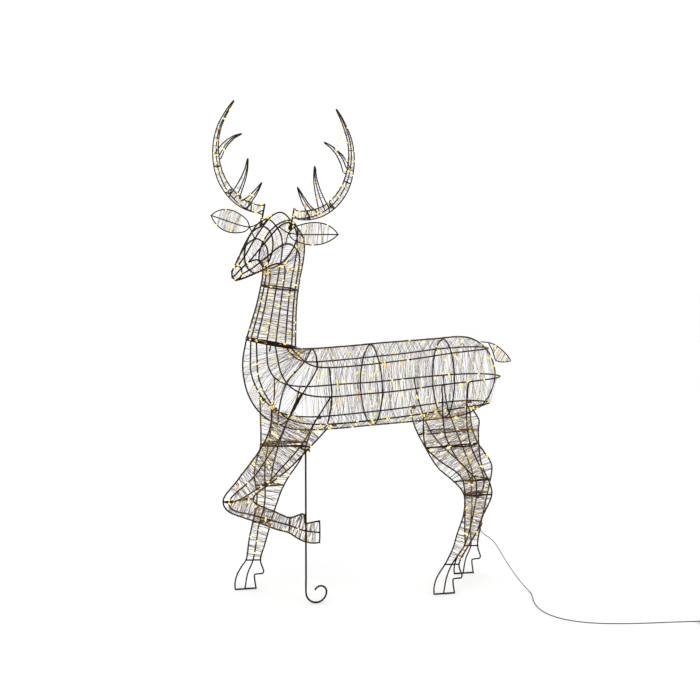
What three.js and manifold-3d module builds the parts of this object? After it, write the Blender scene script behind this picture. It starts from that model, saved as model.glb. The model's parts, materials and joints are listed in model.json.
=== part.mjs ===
// Light-up yard buck: a standing wire-frame deer wound with fine light strings.
// Millimetres, +Z up. The deer faces -X and its left side is towards -Y.
import * as THREE from 'three';
import { mergeVertices } from 'three/addons/utils/BufferGeometryUtils.js';
import Module from 'manifold-3d';

const wasm = await Module();
wasm.setup();

// ---- Driving dimensions ----
const WIRE = 4.2;                // body, neck and leg wire diameter
const THIN = 3.2;                // antler, ear and tail wire diameter
const PROP = 5;                  // support rod diameter
const STRING = 1.6;              // light string diameter
const LEAD = 2.5;                // power lead diameter
const GAP = 0.5;                 // clearance between neighbouring pieces
const SIDES = 4;                 // sides of a wire's section
const SAG = 1.5;                 // how far a straight step may leave a wire's smooth curve
const WELD = 2;                  // how far inside the lengthwise wires a ring's centre line runs
const INSET = 7;                 // how far a light string runs inside its frame
const COLLAR_RADIUS = 75;
const COLLAR_CENTRE = [-292, 0, 766];
const NECK_TILT = 11;            // degrees that the collar and the neck lean back
const HEAD_TURN = 45;            // degrees to the deer's left, one wire spacing
const NECK_SEAT = WIRE + GAP;    // height of the neck ring above the collar ring
const CLIP_WALL = 1;
const CLIP_LENGTH = 6;
const PLUG = { radius: 2.2, length: 11, drop: 17 };   // neck connector, hung below the neck ring
const SOCKET = { inner: 3.1, outer: 4.6, height: 24, weld: 1 };   // weld: how deep its wires run into it
const ANTLER_FOOT = { x: -87, y: 53, z: 332 };   // foot of an antler's peg, in the head's frame
const WINDINGS = 8;              // turns of the string that stands for a section's winding
const CENTRE = { x: 7.19, y: -60.8 };   // the deer's middle, where the origin lies

// ---- Materials ----
const framePaint = ['frame paint', 0x2c1f17, 0.55, 0.4];
const stringWire = ['string wire', 0xb5763f, 0.45, 0.6];
const clipPlastic = ['clip plastic', 0x3a2a1e, 0.6, 0];
const leadVinyl = ['lead vinyl', 0x4a3527, 0.55, 0];
const adapterPlastic = ['adapter plastic', 0x1a1a1c, 0.5, 0];
const bladeBrass = ['blade brass', 0xc9a75a, 0.3, 1];

// ---- Solids ----
const lathe = (profile, segments) => (
  new THREE.LatheGeometry(profile.map(([radius, along]) => new THREE.Vector2(radius, along)), segments)
);
const point = (p) => (p.isVector3 ? p : new THREE.Vector3(...p));
const mix = (a, b, t) => point(a).clone().lerp(point(b), t);
const mixed = THREE.MathUtils.lerp;
const radians = THREE.MathUtils.degToRad;

function solidOf(geometry) {
  const bare = geometry.clone();
  bare.deleteAttribute('normal');
  bare.deleteAttribute('uv');
  const welded = mergeVertices(bare, 1e-4);
  return new wasm.Manifold(new wasm.Mesh({
    numProp: 3,
    vertProperties: new Float32Array(welded.attributes.position.array),
    triVerts: new Uint32Array(welded.index.array),
  }));
}

function geometryOf(solid) {
  const mesh = solid.getMesh();
  const geometry = new THREE.BufferGeometry();
  geometry.setAttribute('position', new THREE.BufferAttribute(mesh.vertProperties, 3));
  geometry.setIndex(new THREE.BufferAttribute(mesh.triVerts, 1));
  return geometry;
}

function joined(geometries) {
  return geometryOf(geometries.map(solidOf).reduce((sum, next) => sum.add(next)));
}

function polygon(diameter, sides) {
  const corners = [];
  for (let i = 0; i < sides; i += 1) {
    const angle = (2 * Math.PI * i) / sides;
    corners.push(new THREE.Vector2(Math.cos(angle), Math.sin(angle)).multiplyScalar(diameter / 2));
  }
  return new THREE.Shape(corners);
}

// A path of straight steps: its corners are exactly the given points.
class SteppedPath extends THREE.Curve {
  constructor(corners) {
    super();
    this.corners = corners;
  }

  getPoint(t, target = new THREE.Vector3()) {
    const place = Math.min(t, 1) * (this.corners.length - 1);
    const index = Math.min(Math.floor(place), this.corners.length - 2);
    return target.copy(this.corners[index]).lerp(this.corners[index + 1], place - index);
  }

  getPointAt(u, target) {
    return this.getPoint(u, target);
  }

  getTangentAt(u, target) {
    return this.getTangent(u, target);
  }
}

function sweep(corners, diameter = WIRE, sides = SIDES) {
  const extrudePath = new SteppedPath(corners.map(point));
  const steps = corners.length - 1;
  return new THREE.ExtrudeGeometry(polygon(diameter, sides), { steps, bevelEnabled: false, extrudePath });
}

const smooth = (points, closed = false) => (
  new THREE.CatmullRomCurve3(points.map(point), closed, 'centripetal')
);

// The corners of a smooth curve through the points: more of them where it bends, few where it is straight.
function stepsOf(points, closed = false, tolerance = SAG) {
  const curve = smooth(points, closed);
  const spans = closed ? points.length : points.length - 1;
  const corners = [curve.getPoint(0)];
  const split = (from, to) => {
    const [a, b] = [curve.getPoint(from), curve.getPoint(to)];
    const middle = curve.getPoint((from + to) / 2);
    if (middle.distanceTo(mix(a, b, 0.5)) > tolerance) {
      split(from, (from + to) / 2);
      split((from + to) / 2, to);
    } else corners.push(b);
  };
  const coarse = Math.ceil(spans / 2);
  for (let i = 0; i < coarse; i += 1) split(i / coarse, (i + 1) / coarse);
  return corners;
}

// A smooth wire through its points.
const wire = (points, diameter = WIRE, sides = SIDES) => sweep(stepsOf(points), diameter, sides);
const bar = (from, to, diameter = WIRE) => sweep([from, to], diameter);

// Straight wires from corner to corner.
function bars(corners, diameter = WIRE, closed = false) {
  const count = closed ? corners.length : corners.length - 1;
  const next = (i) => corners[(i + 1) % corners.length];
  return Array.from({ length: count }, (_, i) => bar(corners[i], next(i), diameter));
}

// Corners pulled in towards their middle.
function inwards(corners, by) {
  const centre = corners.reduce((sum, p) => sum.add(p), new THREE.Vector3()).divideScalar(corners.length);
  return corners.map((p) => p.clone().addScaledVector(centre.clone().sub(p).normalize(), by));
}

// A closed round ring just inside its points: two half rings that overlap at their ends.
function ring(points, diameter = WIRE) {
  const corners = stepsOf(inwards(points, WELD), true, 2 * SAG).slice(0, -1);
  const count = corners.length;
  const corner = (i) => corners[(i + count) % count];
  const half = (first, last) => {
    const path = [mix(corner(first), corner(first - 1), 0.2)];
    for (let i = first; i <= last; i += 1) path.push(corner(i));
    path.push(mix(corner(last), corner(last + 1), 0.2));
    return sweep(path, diameter);
  };
  const middle = Math.floor(count / 2);
  return [half(0, middle), half(middle, count)];
}

const model = new THREE.Group();

function add(parent, name, material, geometry) {
  const [, color, roughness, metalness] = material;
  const shown = geometry.index ? geometry.toNonIndexed() : geometry;
  shown.computeVertexNormals();
  const mesh = new THREE.Mesh(shown, new THREE.MeshStandardMaterial({ color, roughness, metalness }));
  mesh.name = name;
  parent.add(mesh);
  return mesh;
}

// ---- Torso: a barrel of wires that turns up to the collar ----
// Each lengthwise wire is a hairpin: from the collar along one side, round the rump and back.
// Points are [x, half width, z].
const SHOULDER_WIRE = [[-200, 85, 715], [-168, 95, 703], [-110, 102, 702], [20, 100, 711], [150, 88, 723],
  [250, 80, 735], [330, 66, 741], [374, 40, 743], [392, 0, 743]];
const FLANK_WIRE = [[-288, 95, 726], [-283, 108, 694], [-262, 122, 655], [-222, 134, 630], [-160, 142, 620],
  [-60, 142, 624], [60, 132, 630], [180, 118, 641], [270, 109, 648], [350, 94, 653], [405, 60, 655],
  [430, 0, 655]];
const BRISKET_WIRE = [[-344, 63, 722], [-343, 70, 685], [-329, 77, 638], [-300, 82, 590], [-255, 84, 551],
  [-200, 85, 535], [-110, 85, 532], [0, 84, 539], [120, 82, 549], [220, 78, 560], [310, 70, 569],
  [370, 46, 572], [400, 0, 572]];
const SPINE_TO_BELLY = [[-199, 0, 750], [-176, 0, 750], [-125, 0, 752], [-26, 0, 758], [64, 0, 765],
  [157, 0, 770], [236, 0, 775], [296, 0, 779], [332, 0, 775], [364, 0, 760], [390, 0, 737], [408, 0, 705],
  [418, 0, 665],
  [413, 0, 625], [398, 0, 590], [370, 0, 560], [335, 0, 541], [300, 0, 532], [183, 0, 521], [34, 0, 513],
  [-110, 0, 505], [-180, 0, 504], [-225, 0, 508], [-270, 0, 523], [-315, 0, 550], [-345, 0, 585],
  [-366, 0, 630], [-376, 0, 680], [-376, 0, 725]];

const collarAxis = new THREE.Vector3(Math.sin(radians(NECK_TILT)), 0, Math.cos(radians(NECK_TILT)));

// A point of the collar ring, `turn` degrees round from the back of the neck.
function onCollar(turn, radius = COLLAR_RADIUS) {
  const back = new THREE.Vector3(Math.cos(radians(NECK_TILT)), 0, -Math.sin(radians(NECK_TILT)));
  const left = new THREE.Vector3(0, -1, 0);
  return point(COLLAR_CENTRE).addScaledVector(back, radius * Math.cos(radians(turn)))
    .addScaledVector(left, radius * Math.sin(radians(turn)));
}

function hairpin(points, turn) {
  const left = points.map(([x, y, z]) => [x, -y, z]);
  const right = points.slice(0, -1).reverse();
  return [onCollar(turn), ...left, ...right, onCollar(-turn)];
}

const shoulder = stepsOf(hairpin(SHOULDER_WIRE, 45));
const flank = stepsOf(hairpin(FLANK_WIRE, 90));
const brisket = stepsOf(hairpin(BRISKET_WIRE, 135));
const keel = stepsOf([onCollar(0), ...SPINE_TO_BELLY, onCollar(180)]);

// Where a stepped wire passes x, on the side given by `side` (-1 is left) or the first time it comes by.
function passing(steps, x, side = 0, low = false) {
  const found = [];
  for (let i = 1; i < steps.length; i += 1) {
    const [a, b] = [steps[i - 1], steps[i]];
    const within = (a.x - x) * (b.x - x) <= 0 && a.x !== b.x;
    const t = (x - a.x) / (b.x - a.x);
    const here = within ? mix(a, b, t) : null;
    if (here && (side === 0 || here.y * side >= 0)) found.push(here);
  }
  found.sort((a, b) => a.z - b.z);
  return low ? found[0] : found[found.length - 1];
}

// The point of a stepped wire that lies closest to p.
function closest(steps, p) {
  const feet = steps.slice(1).map((end, i) => {
    const step = new THREE.Line3(steps[i], end);
    return step.closestPointToPoint(p, true, new THREE.Vector3());
  });
  return feet.reduce((best, foot) => (foot.distanceTo(p) < best.distanceTo(p) ? foot : best));
}

// The eight wires' points round the barrel, each at its own x: spine, shoulder, flank, brisket, belly.
function girth([spineX, shoulderX, flankX, brisketX, bellyX]) {
  const side = (way) => [[shoulder, shoulderX], [flank, flankX], [brisket, brisketX]]
    .map(([steps, x]) => passing(steps, x, way, true));
  return [passing(keel, spineX), ...side(-1), passing(keel, bellyX, 0, true), ...side(1).reverse()];
}

const evenGirth = (x) => girth([x, x, x, x, x]);

function torsoFrame() {
  const collar = Array.from({ length: 8 }, (_, i) => onCollar(45 * i));
  const rib = [passing(shoulder, -136, -1, true), passing(flank, -138, -1, true),
    passing(brisket, -139, -1, true), passing(keel, -140, 0, true)];
  return joined([
    ...ring(collar),
    ...[shoulder, flank, brisket, keel].map((steps) => sweep(steps)),
    ...ring(girth([-165, -170, -222, -255, -268])),
    ...ring(evenGirth(17)),
    ...ring(evenGirth(248)),
    wire(rib),
  ]);
}

function torsoString() {
  const [from, to] = [-120, 330];
  const drop = NECK_SEAT - PLUG.drop - PLUG.length - 2 * GAP;
  const path = [drop, drop - PLUG.length].map((z) => point(COLLAR_CENTRE).addScaledVector(collarAxis, z));
  const count = WINDINGS * 8;
  for (let i = 0; i <= count; i += 1) {
    const x = mixed(from, to, i / count);
    path.push(inwards(evenGirth(x), INSET)[i % 8]);
  }
  return sweep(path, STRING, 4);
}

// ---- Neck and head: one elbow of eight wires, in a frame turned and tilted on the collar ----
// Stations are [back or crown x, z, throat or chin x, z, half width], deer's nose towards -x.
const NECK_STATIONS = [
  [75, 0, -75, 0, 75], [64, 55, -70, 55, 66], [54, 112, -66, 108, 60], [47, 170, -66, 160, 56],
  [45, 228, -67, 188, 56], [44, 285, -73, 203, 57], [26, 335, -80, 211, 58], [-20, 368, -93, 210, 58],
  [-70, 382, -108, 205, 56], [-112, 366, -128, 199, 54], [-146, 330, -150, 190, 50],
  [-178, 284, -178, 178, 42], [-203, 240, -203, 168, 31], [-229, 204, -231, 160, 19],
];
const NECK_RINGS = [0, 3, 7, 10, 13];

function headStation([backX, backZ, throatX, throatZ, halfWidth]) {
  const corners = [];
  for (let i = 0; i < 8; i += 1) {
    const turn = radians(45 * i);
    const across = (1 - Math.cos(turn)) / 2;
    corners.push(new THREE.Vector3(
      backX + (throatX - backX) * across,
      -halfWidth * Math.sin(turn),
      backZ + (throatZ - backZ) * across,
    ));
  }
  return corners;
}

const headCorners = NECK_STATIONS.map(headStation);
const headSteps = headCorners[0].map((_, i) => stepsOf(headCorners.map((corners) => corners[i])));

function socketTube() {
  const profile = [[SOCKET.inner, 0], [SOCKET.outer, 0], [SOCKET.outer, SOCKET.height],
    [SOCKET.inner, SOCKET.height], [SOCKET.inner, 0]];
  return lathe(profile, 12).rotateX(Math.PI / 2);
}

function neckHeadFrame() {
  const pieces = headSteps.map((steps) => sweep(steps));
  NECK_RINGS.forEach((station) => pieces.push(...ring(headCorners[station])));
  [-1, 1].forEach((side) => {
    const foot = new THREE.Vector3(ANTLER_FOOT.x, side * ANTLER_FOOT.y, ANTLER_FOOT.z);
    pieces.push(socketTube().translate(foot.x, foot.y, foot.z));
    const upper = headCorners[8][side < 0 ? 1 : 7];
    const wall = foot.clone().setY(side * (ANTLER_FOOT.y - SOCKET.outer - WIRE / 2 + SOCKET.weld));
    pieces.push(bar(upper, wall.clone().setZ(foot.z + 4)));
    pieces.push(bar(upper, wall.clone().setZ(foot.z + SOCKET.height - 4)));
  });
  return joined(pieces);
}

function neckHeadString() {
  const last = headCorners.length - 2;
  const start = PLUG.length - PLUG.drop + GAP;
  const path = [[0, 0, start], [0, 0, start + PLUG.length]];
  const count = WINDINGS * 8;
  for (let i = 0; i <= count; i += 1) {
    const along = mixed(0.5, last, i / count);
    const station = Math.floor(along);
    const next = headCorners[station + 1];
    const corners = headCorners[station].map((p, k) => mix(p, next[k], along - station));
    const size = corners[0].distanceTo(corners[4]);
    path.push(inwards(corners, Math.min(INSET, size * 0.2))[i % 8]);
  }
  return sweep(path, STRING, 4);
}

// ---- Antlers: tapering three-wire beams in the plane across the head ----
// Points are [distance from the middle, height], in the head's frame; radius is a tine's half thickness.
const BEAM = [[64, 376], [104, 380], [146, 394], [183, 418], [213, 451], [231, 487], [239, 526], [239, 561],
  [231, 597], [215, 629], [197, 657], [181, 677]];
const TINES = [
  { path: [[122, 390], [97, 412], [78, 436], [65, 455]], radius: 15 },
  { path: [[158, 408], [138, 446], [124, 482], [119, 518]], radius: 17 },
  { path: [[229, 518], [207, 550], [178, 574], [148, 587]], radius: 14 },
];
const ANTLER_LEAN = 0.23;        // how far the antlers lean forward for each millimetre up
const BEAM_RADIUS = 16;
const STRING_OFFSET = 5;
const PEG = { diameter: 5, top: 398 };

function onAntler(side, y, z) {
  const lean = ANTLER_LEAN * (z - BEAM[0][1]);
  return new THREE.Vector3(ANTLER_FOOT.x - lean, side * y, z);
}

function spar(outline, radius, side, rings, bulge) {
  const count = outline.length;
  const curve = smooth(outline.map(([y, z]) => onAntler(side, y, z)));
  const wires = [[], [], []];
  for (let i = 0; i < count; i += 1) {
    const along = i / (count - 1);
    const middle = curve.getPoint(along);
    const ahead = curve.getTangent(along);
    const depth = new THREE.Vector3(1, 0, 0);
    const inward = depth.clone().cross(ahead).multiplyScalar(side);
    const size = radius * (1 - 0.9 * along ** bulge);
    for (let k = 0; k < 3; k += 1) {
      const turn = (2 * Math.PI * k) / 3;
      wires[k].push(middle.clone().addScaledVector(inward, size * Math.cos(turn))
        .addScaledVector(depth, size * Math.sin(turn)));
    }
  }
  const steps = wires.map((path) => stepsOf(path));
  const hoop = (i) => bars(inwards(wires.map((path) => path[i]), THIN / 2), THIN, true);
  const hoops = rings.flatMap(hoop);
  return { wires, steps, pieces: [...steps.map((path) => sweep(path, THIN)), ...hoops] };
}

function antlerFrame(side) {
  const beam = spar(BEAM, BEAM_RADIUS, side, [1, 3, 5], 1.6);
  const pieces = [...beam.pieces];
  TINES.forEach((tine) => {
    const { wires, pieces: sides } = spar(tine.path, tine.radius, side, [], 0.8);
    pieces.push(...sides);
    wires.forEach(([root]) => {
      const onBeam = beam.steps.map((steps) => closest(steps, root));
      onBeam.sort((a, b) => a.distanceTo(root) - b.distanceTo(root));
      pieces.push(bar(root, onBeam[0], THIN));
    });
  });
  const peg = new THREE.Vector3(ANTLER_FOOT.x, side * ANTLER_FOOT.y, ANTLER_FOOT.z + 1);
  const top = peg.clone().setZ(PEG.top);
  const stubs = beam.wires.map(([root], k) => bar(root, mix(peg, top, k === 0 ? 1 : 0.72), THIN));
  return joined([...pieces, bar(peg, top, PEG.diameter), ...stubs]);
}

// The string lies towards the beam's outer edge, clear of the tines' roots.
function antlerString(side) {
  const last = BEAM.length - 1;
  const line = BEAM.map(([y, z], i) => {
    const [before, after] = [BEAM[Math.max(i - 1, 0)], BEAM[Math.min(i + 1, last)]];
    const outwards = new THREE.Vector2(after[1] - before[1], before[0] - after[0]);
    outwards.setLength(STRING_OFFSET * (1 - i / last));
    return onAntler(side, y + outwards.x, z + outwards.y);
  });
  const curve = smooth(line);
  const path = [];
  const count = 30;
  for (let i = 0; i <= count; i += 1) {
    const along = (i / count) * 0.86;
    const swing = 2 * (1 - along);
    path.push(curve.getPointAt(along).add(new THREE.Vector3(i % 2 ? swing : -swing, 0, 0)));
  }
  return sweep(path, STRING, 4);
}

// ---- Ears and tail: flat leaf loops, each with a middle rib ----
const EAR = { rootY: 70, tipY: 228, x: -116, sweep: 12, z: 323, tipZ: 340, height: 62 };

function earLeaf(side) {
  const along = (t, up) => new THREE.Vector3(
    EAR.x + EAR.sweep * t,
    side * mixed(EAR.rootY, EAR.tipY, t),
    mixed(EAR.z, EAR.tipZ, t) + EAR.height * up,
  );
  const edge = [[0, 0], [0.08, 0.24], [0.25, 0.42], [0.48, 0.52], [0.72, 0.45], [0.9, 0.23], [1, 0]];
  const [upper, lower] = [1, -1].map((way) => edge.map(([t, up]) => along(t, way * up)));
  return { upper, lower, rib: [along(0, 0), along(1, 0)], along };
}

// Two short stems reach from the leaf's root to the head's wires and stop just short of them.
function earFrame(side) {
  const leaf = earLeaf(side);
  const root = leaf.rib[0];
  const stems = (side < 0 ? [1, 2] : [7, 6]).map((i) => {
    const foot = closest(headSteps[i], root);
    const reach = root.distanceTo(foot);
    return bar(root, mix(root, foot, (reach - WIRE / 2 - GAP) / reach), THIN);
  });
  return joined([wire(leaf.upper, THIN), wire(leaf.lower, THIN), bar(...leaf.rib, THIN), ...stems]);
}

function earString(side) {
  const leaf = earLeaf(side);
  const path = [];
  const count = 9;
  for (let i = 0; i <= count; i += 1) {
    const t = mixed(0.12, 0.88, i / count);
    const reach = 0.34 * Math.sin(Math.PI * t);
    const here = leaf.along(t, i % 2 ? reach : -reach);
    path.push(here.setX(here.x - THIN - GAP));
  }
  return sweep(path, STRING, 4);
}

const TAIL_TOP = [[371, 762], [386, 761], [400, 758], [416, 752], [438, 737], [458, 718], [471, 700]];
const TAIL_LOWER = [[471, 700], [452, 697], [434, 698], [419, 702]];
const TAIL_ROOT = [[396, 758], [409, 733], [419, 702]];    // the root follows the rump's curve

function tailFrame() {
  const flat = ([x, z]) => [x, 0, z];
  const top = TAIL_TOP.map(flat);
  const lower = TAIL_LOWER.map(flat);
  return joined([wire(top, THIN), wire(lower, THIN), wire(TAIL_ROOT.map(flat), THIN)]);
}

function tailString() {
  const zigzag = [[414, 742], [424, 716], [436, 729], [446, 706], [458, 711]];
  return sweep(zigzag.map(([x, z]) => [x, -THIN - GAP, z]), STRING, 4);
}

// ---- Legs: four wires that hang from the torso and close on a hoof ----
// front and back hang from the brisket wire; outer and after hang from the flank wire.
// Points are [x, z], from the top down; width is measured from the middle, below the elbow or stifle.
const LEGS = {
  front_leg_right: {
    side: 1, width: { inner: 84, outer: 94 }, hoof: { toe: [-393, 0], raised: false },
    tops: { front: -309, outer: -258, after: -174, back: -136 },
    front: [[-311, 520], [-312, 444], [-324, 404], [-331, 364], [-327, 324], [-323, 298], [-327, 254],
      [-337, 211], [-348, 160]],
    outer: [[-262, 600], [-270, 542], [-282, 466], [-294, 400], [-298, 350], [-296, 298], [-300, 255],
      [-316, 200]],
    after: [[-190, 580], [-212, 540], [-236, 492], [-253, 446], [-270, 385], [-279, 330]],
    back: [[-163, 460], [-186, 400], [-212, 366], [-239, 322], [-255, 286], [-268, 247], [-278, 215],
      [-299, 143]],
    rungs: [[[-312, 452], [-285, 456], [-249, 458], [-166, 454]],
      [[-327, 324], [-296, 324], [-279, 330], [-239, 322]], [[-337, 211], [-312, 211], null, [-279, 211]]],
  },
  front_leg_left: {
    side: -1, width: { inner: 92, outer: 108 }, hoof: { toe: [-165, 180], raised: true },
    tops: { front: -302, outer: -226, after: -142, back: -128 },
    front: [[-308, 538], [-319, 503], [-332, 480], [-358, 440], [-384, 409], [-412, 372], [-434, 347],
      [-447, 330], [-451, 315], [-447, 300], [-434, 285], [-400, 269], [-350, 250], [-300, 228]],
    outer: [[-246, 592], [-265, 549], [-285, 500], [-322, 444], [-360, 391], [-386, 366], [-412, 346],
      [-430, 328], [-436, 313], [-431, 299], [-410, 287], [-365, 275], [-310, 256]],
    after: [[-158, 590], [-177, 555], [-190, 528], [-206, 498], [-240, 454], [-287, 405], [-314, 376],
      [-357, 350], [-396, 326]],
    back: [[-168, 489], [-201, 457], [-232, 427], [-262, 399], [-297, 374], [-318, 358], [-340, 344],
      [-356, 332], [-363, 320], [-359, 309], [-346, 300], [-300, 279]],
    rungs: [[[-334, 476], [-300, 474], [-222, 474], [-190, 466]],
      [[-450, 315], [-436, 313], [-396, 326], [-363, 320]]],
  },
  rear_leg_left: {
    side: -1, width: { inner: 98, outer: 112 }, hoof: { toe: [188, 0], raised: false },
    tops: { front: 161, outer: 204, after: 292, back: 318 },
    front: [[158, 520], [157, 487], [164, 451], [187, 427], [213, 405], [243, 385], [264, 370], [278, 352],
      [286, 323], [288, 296], [285, 246], [275, 212], [264, 183], [251, 140]],
    outer: [[208, 600], [210, 551], [219, 490], [232, 461], [258, 415], [280, 391], [300, 371], [316, 352],
      [320, 305], [313, 260], [299, 196], [281, 146]],
    after: [[288, 600], [286, 544], [289, 507], [300, 456], [311, 429], [324, 403], [337, 375], [344, 348],
      [339, 318], [322, 292]],
    back: [[338, 528], [333, 502], [330, 469], [334, 425], [340, 396], [350, 370], [363, 346], [372, 322],
      [375, 305], [370, 282], [357, 257], [347, 237], [331, 194], [302, 147]],
    rungs: [[[164, 451], [236, 455], [301, 455], [330, 460]],
      [[281, 346], [317, 346], [344, 348], [363, 346]], [[288, 300], [320, 300], [328, 300], [374, 300]]],
  },
  rear_leg_right: {
    side: 1, width: { inner: 98, outer: 112 }, hoof: { toe: [323, 0], raised: false },
    tops: { front: 167, outer: 190, after: 284, back: 344 },
    front: [[178, 503], [196, 464], [216, 430], [248, 375], [270, 347], [304, 318], [330, 294], [346, 275],
      [354, 257], [357, 217], [356, 160]],
    outer: [[197, 600], [207, 559], [216, 529], [243, 469], [287, 416], [330, 377], [362, 345], [379, 305],
      [384, 262], [385, 210], [380, 150]],
    after: [[290, 600], [296, 564], [305, 527], [322, 485], [342, 439], [362, 390], [385, 331], [385, 285]],
    back: [[361, 538], [370, 500], [382, 466], [399, 427], [420, 398], [438, 373], [447, 350], [446, 326],
      [441, 300], [428, 240], [411, 162]],
    rungs: [[[197, 462], [241, 473], [327, 473], [380, 470]],
      [[318, 306], [379, 306], [385, 320], [443, 308]], [[352, 262], [384, 266], null, [433, 266]]],
  },
};
const RUNG_INSET = 0.7;           // how far inside the leg's wires the corners of a cross brace lie
const FOOT_LENGTH = 16;
const FOOT_DROP = WIRE + 0.8;      // distance between a leg's top bar and the torso wire that it hangs on
const HOOF = {
  front: [[35, 92], [22, 74], [8, 50], [1, 26], [1, 2]],
  rear: [[66, 2], [60, 46], [88, 47], [90, 54], [80, 90]],
  middle: [[57, 91], [40, 50], [31, 2]],
  base: 67,
};

function hoofPoint(leg, [x, z]) {
  const [toeX, toeZ] = leg.hoof.toe;
  const y = (leg.side * (leg.width.inner + leg.width.outer)) / 2;
  const [along, up] = leg.hoof.raised ? [-z, x] : [x, z];
  return new THREE.Vector3(toeX + along, y, toeZ + up);
}

// The bar at a leg wire's top runs along the torso wire, under the brisket wire or outside the flank wire.
function topBar(leg, kind) {
  const onBrisket = kind === 'front' || kind === 'back';
  const steps = onBrisket ? brisket : flank;
  const x = leg.tops[kind];
  const ends = [x, x + FOOT_LENGTH].map((end) => passing(steps, end, leg.side, onBrisket));
  const along = ends[1].clone().sub(ends[0]).normalize();
  const off = onBrisket ? new THREE.Vector3(0, 0, -1) : new THREE.Vector3(0, leg.side, 0);
  off.addScaledVector(along, -off.dot(along)).setLength(FOOT_DROP);
  return ends.map((end) => end.add(off));
}

const HOOF_CORNER = { front: [35, 92], outer: [57, 91], back: [80, 90] };

function legWire(leg, kind) {
  const low = kind === 'front' || kind === 'back' ? leg.width.inner : leg.width.outer;
  const top = topBar(leg, kind)[0];
  const points = leg[kind].map(([x, z], i) => {
    const down = Math.min(1, (i + 1) / 3);
    return new THREE.Vector3(x, THREE.MathUtils.lerp(top.y, leg.side * low, down), z);
  });
  const corner = HOOF_CORNER[kind];
  const ends = corner ? [hoofPoint(leg, corner)] : [];
  return stepsOf([top, ...points, ...ends]);
}

// The point of a stepped wire that a side view shows closest to [x, z].
function nearest(steps, [x, z]) {
  const flat = steps.map((p) => p.clone().setY(0));
  const places = steps.slice(1).map((end, i) => {
    const step = new THREE.Line3(flat[i], flat[i + 1]);
    const t = step.closestPointToPointParameter(new THREE.Vector3(x, 0, z), true);
    return mix(steps[i], end, t);
  });
  const away = (p) => Math.hypot(p.x - x, p.z - z);
  return places.reduce((best, p) => (away(p) < away(best) ? p : best));
}

function hoofPieces(leg) {
  const place = (list) => list.map((p) => hoofPoint(leg, p));
  const middle = hoofPoint(leg, [HOOF.base / 2, WIRE / 2]);
  const size = leg.hoof.raised ? [WIRE, WIRE, HOOF.base] : [HOOF.base, WIRE, WIRE];
  return [
    wire(place(HOOF.front)), ...bars(place(HOOF.rear)), wire(place(HOOF.middle)),
    ...bars(place([HOOF_CORNER.front, HOOF_CORNER.outer, HOOF_CORNER.back])),
    new THREE.BoxGeometry(...size).translate(...middle),
  ];
}

// The raised leg's cross bar that the support rod hooks over.
const HANGER = { x: -203, z: 457, overhang: 12, brace: [-228, 470] };

function hangerBar(leg, wires) {
  const start = new THREE.Vector3(HANGER.x, leg.side * leg.width.inner, HANGER.z);
  const end = start.clone().setY(leg.side * (leg.width.outer + HANGER.overhang));
  const onBack = closest(wires.back, start);
  return [bar(onBack, start), bar(start, end), bar(end, nearest(wires.after, HANGER.brace))];
}

function legFrame(leg) {
  const kinds = ['front', 'outer', 'after', 'back'];
  const wires = Object.fromEntries(kinds.map((kind) => [kind, legWire(leg, kind)]));
  const pieces = kinds.map((kind) => sweep(wires[kind]));
  leg.rungs.forEach((rung) => {
    const corners = rung.map((hint, i) => hint && nearest(wires[kinds[i]], hint)).filter(Boolean);
    pieces.push(...bars(inwards(corners, RUNG_INSET), WIRE, true));
  });
  kinds.forEach((kind) => pieces.push(bar(...topBar(leg, kind))));
  if (leg.hoof.raised) pieces.push(...hangerBar(leg, wires));
  return joined([...pieces, ...hoofPieces(leg)]);
}

// A raised leg's string ends above its folded knee.
function legString(leg) {
  const wires = ['front', 'outer', 'back'].map((kind) => smooth(legWire(leg, kind)));
  const path = [];
  const [from, to] = leg.hoof.raised ? [0.14, 0.42] : [0.14, 0.88];
  const count = leg.hoof.raised ? WINDINGS : 2 * WINDINGS;
  for (let i = 0; i <= count; i += 1) {
    const along = mixed(from, to, i / count);
    const [front, outer, back] = wires.map((curve) => curve.getPointAt(along));
    const centre = front.clone().add(outer).add(back).divideScalar(3);
    const sway = back.clone().sub(front).multiplyScalar(0.06 * (i % 2 ? 1 : -1));
    path.push(centre.add(sway));
  }
  return sweep(path, STRING, 4);
}

// ---- Support rod: a hook over the raised leg's cross bar, a straight shank and a curled foot ----
const ROD_Y = -106;
const CURL = { radius: 31, z: 33.6, tip: { radius: 18, turn: 165 } };

function supportRod() {
  const hookRadius = WIRE / 2 + 2 * GAP + PROP / 2;
  const path = [];
  for (let turn = -30; turn <= 180; turn += 30) {
    const angle = radians(turn);
    path.push([HANGER.x + hookRadius * Math.cos(angle), ROD_Y, HANGER.z + hookRadius * Math.sin(angle)]);
  }
  const shankX = HANGER.x - hookRadius;
  const curlX = shankX + CURL.radius;
  [430, 340, 200, 90].forEach((z) => path.push([shankX, ROD_Y, z]));
  const arc = (radius, x, from, to) => {
    for (let turn = from; turn <= to; turn += 20) {
      const angle = radians(turn);
      path.push([x + radius * Math.cos(angle), ROD_Y, CURL.z + radius * Math.sin(angle)]);
    }
  };
  arc(CURL.radius, curlX, 180, 360);
  arc(CURL.tip.radius, curlX + CURL.radius - CURL.tip.radius, 20, CURL.tip.turn);
  return sweep(stepsOf(path, false, 0.9), PROP, 6);
}

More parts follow.
